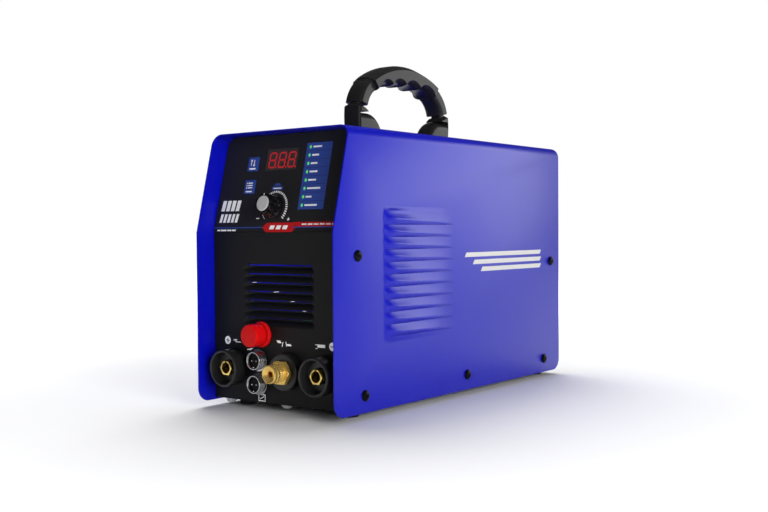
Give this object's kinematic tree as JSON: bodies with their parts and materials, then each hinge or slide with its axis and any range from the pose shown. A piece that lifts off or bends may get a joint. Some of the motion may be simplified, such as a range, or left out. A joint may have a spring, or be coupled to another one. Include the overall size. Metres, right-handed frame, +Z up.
{
  "type": "inverter plasma cutter unit",
  "caption": "Portable inverter plasma cutter and welder: bent-sheet case with louvres, carrying handle, front sockets, control knob, keys and display.",
  "frame": {"origin": "middle of the bounding box's bottom, on the floor under the middle of the unit's length", "axes": "+X to the right of someone facing the unit's front, +Y from the front to the rear, +Z up"},
  "size_m": [0.1602, 0.4068, 0.3107],
  "materials": {
    "blue_coat": "blue powder coat, fine texture, satin",
    "black_coat": "black powder coat, matt",
    "overlay_film": "printed polycarbonate film, fine matt texture",
    "moulded_black": "moulded black nylon, semi-matt",
    "handle_plastic": "moulded black plastic, semi-gloss",
    "foot_rubber": "matt rubber",
    "red_plastic": "moulded red plastic, semi-gloss",
    "key_blue": "blue rubber key, matt",
    "knob_silver": "silver knob cap, satin",
    "chrome_shell": "bright chrome plate",
    "brass_metal": "turned brass, bright",
    "zinc_steel": "zinc plated steel",
    "black_screw": "black oxide screw, satin",
    "heatsink_metal": "extruded aluminium",
    "board_green": "green circuit board",
    "copper_winding": "enamelled copper winding on its core",
    "display_glass": "dark red display window, glossy",
    "lamp_green": "green indicator lamps, lit"
  },
  "bodies": {
    "unit": {"base_pan": "black_coat", "base_screw_left": "zinc_steel", "base_screw_middle": "zinc_steel", "cable_gland": "moulded_black", "capacitor_left": "heatsink_metal", "capacitor_right": "heatsink_metal", "control_board": "board_green", "control_overlay": "overlay_film", "cover": "blue_coat", "cover_screw_left_1": "black_screw", "cover_screw_left_2": "black_screw", "cover_screw_left_3": "black_screw", "cover_screw_left_4": "black_screw", "cover_screw_left_5": "black_screw", "cover_screw_right_1": "black_screw", "cover_screw_right_2": "black_screw", "cover_screw_right_3": "black_screw", "cover_screw_right_4": "black_screw", "cover_screw_right_5": "black_screw", "display_module": "display_glass", "earth_stud": "zinc_steel", "fan_frame": "moulded_black", "foot_front_left": "foot_rubber", "foot_front_right": "foot_rubber", "foot_rear_left": "foot_rubber", "foot_rear_right": "foot_rubber", "front_panel": "black_coat", "gas_hose": "foot_rubber", "gas_inlet": "brass_metal", "gas_valve": "brass_metal", "handle": "handle_plastic", "handle_screw_front": "zinc_steel", "handle_screw_rear": "zinc_steel", "heatsink": "heatsink_metal", "led_bar": "lamp_green", "main_board": "board_green", "main_transformer": "copper_winding", "potentiometer": "zinc_steel", "power_switch": "moulded_black", "rear_panel": "black_coat", "signal_insulator_lower": "moulded_black", "signal_insulator_upper": "moulded_black", "signal_socket_lower": "chrome_shell", "signal_socket_upper": "chrome_shell", "socket_left": "moulded_black", "socket_left_contact": "brass_metal", "socket_right": "moulded_black", "socket_right_contact": "brass_metal", "terminal_base": "red_plastic", "terminal_stud": "brass_metal", "torch_fitting": "brass_metal", "torch_flange": "moulded_black"},
    "knob": {"knob_body": "moulded_black", "knob_cap": "knob_silver", "knob_shaft": "zinc_steel"},
    "mode_key": {"mode_button": "key_blue"},
    "pulse_key": {"pulse_button": "key_blue"},
    "terminal": {"terminal_cap": "red_plastic"},
    "fan": {"fan_rotor": "moulded_black"},
    "rocker": {"switch_rocker": "red_plastic"}
  },
  "joints": [
    {"name": "knob_turn", "type": "hinge", "parent": "unit", "child": "knob", "pos_m": [-0.0075, -0.17389, 0.1737], "axis": [0, -0.9706, 0.2406], "range_deg": [-140, 140]},
    {"name": "mode_press", "type": "slide", "parent": "unit", "child": "mode_key", "axis": [0, 0.9706, -0.2406], "range_m": [0, 0.0006], "stiffness_N_per_m": 1200, "springref_m": -0.0005},
    {"name": "pulse_press", "type": "slide", "parent": "unit", "child": "pulse_key", "axis": [0, 0.9706, -0.2406], "range_m": [0, 0.0006], "stiffness_N_per_m": 1200, "springref_m": -0.0005},
    {"name": "terminal_turn", "type": "hinge", "parent": "unit", "child": "terminal", "pos_m": [-0.0186, -0.17905, 0.0657], "axis": [0, -1, 0], "range_deg": [0, 360]},
    {"name": "fan_spin", "type": "hinge", "parent": "unit", "child": "fan", "pos_m": [0, 0.17115, 0.079], "axis": [0, 1, 0], "continuous": true},
    {"name": "rocker_tilt", "type": "hinge", "parent": "unit", "child": "rocker", "pos_m": [-0.04, 0.17015, 0.196], "axis": [-1, 0, 0], "range_deg": [0, 22]}
  ]
}
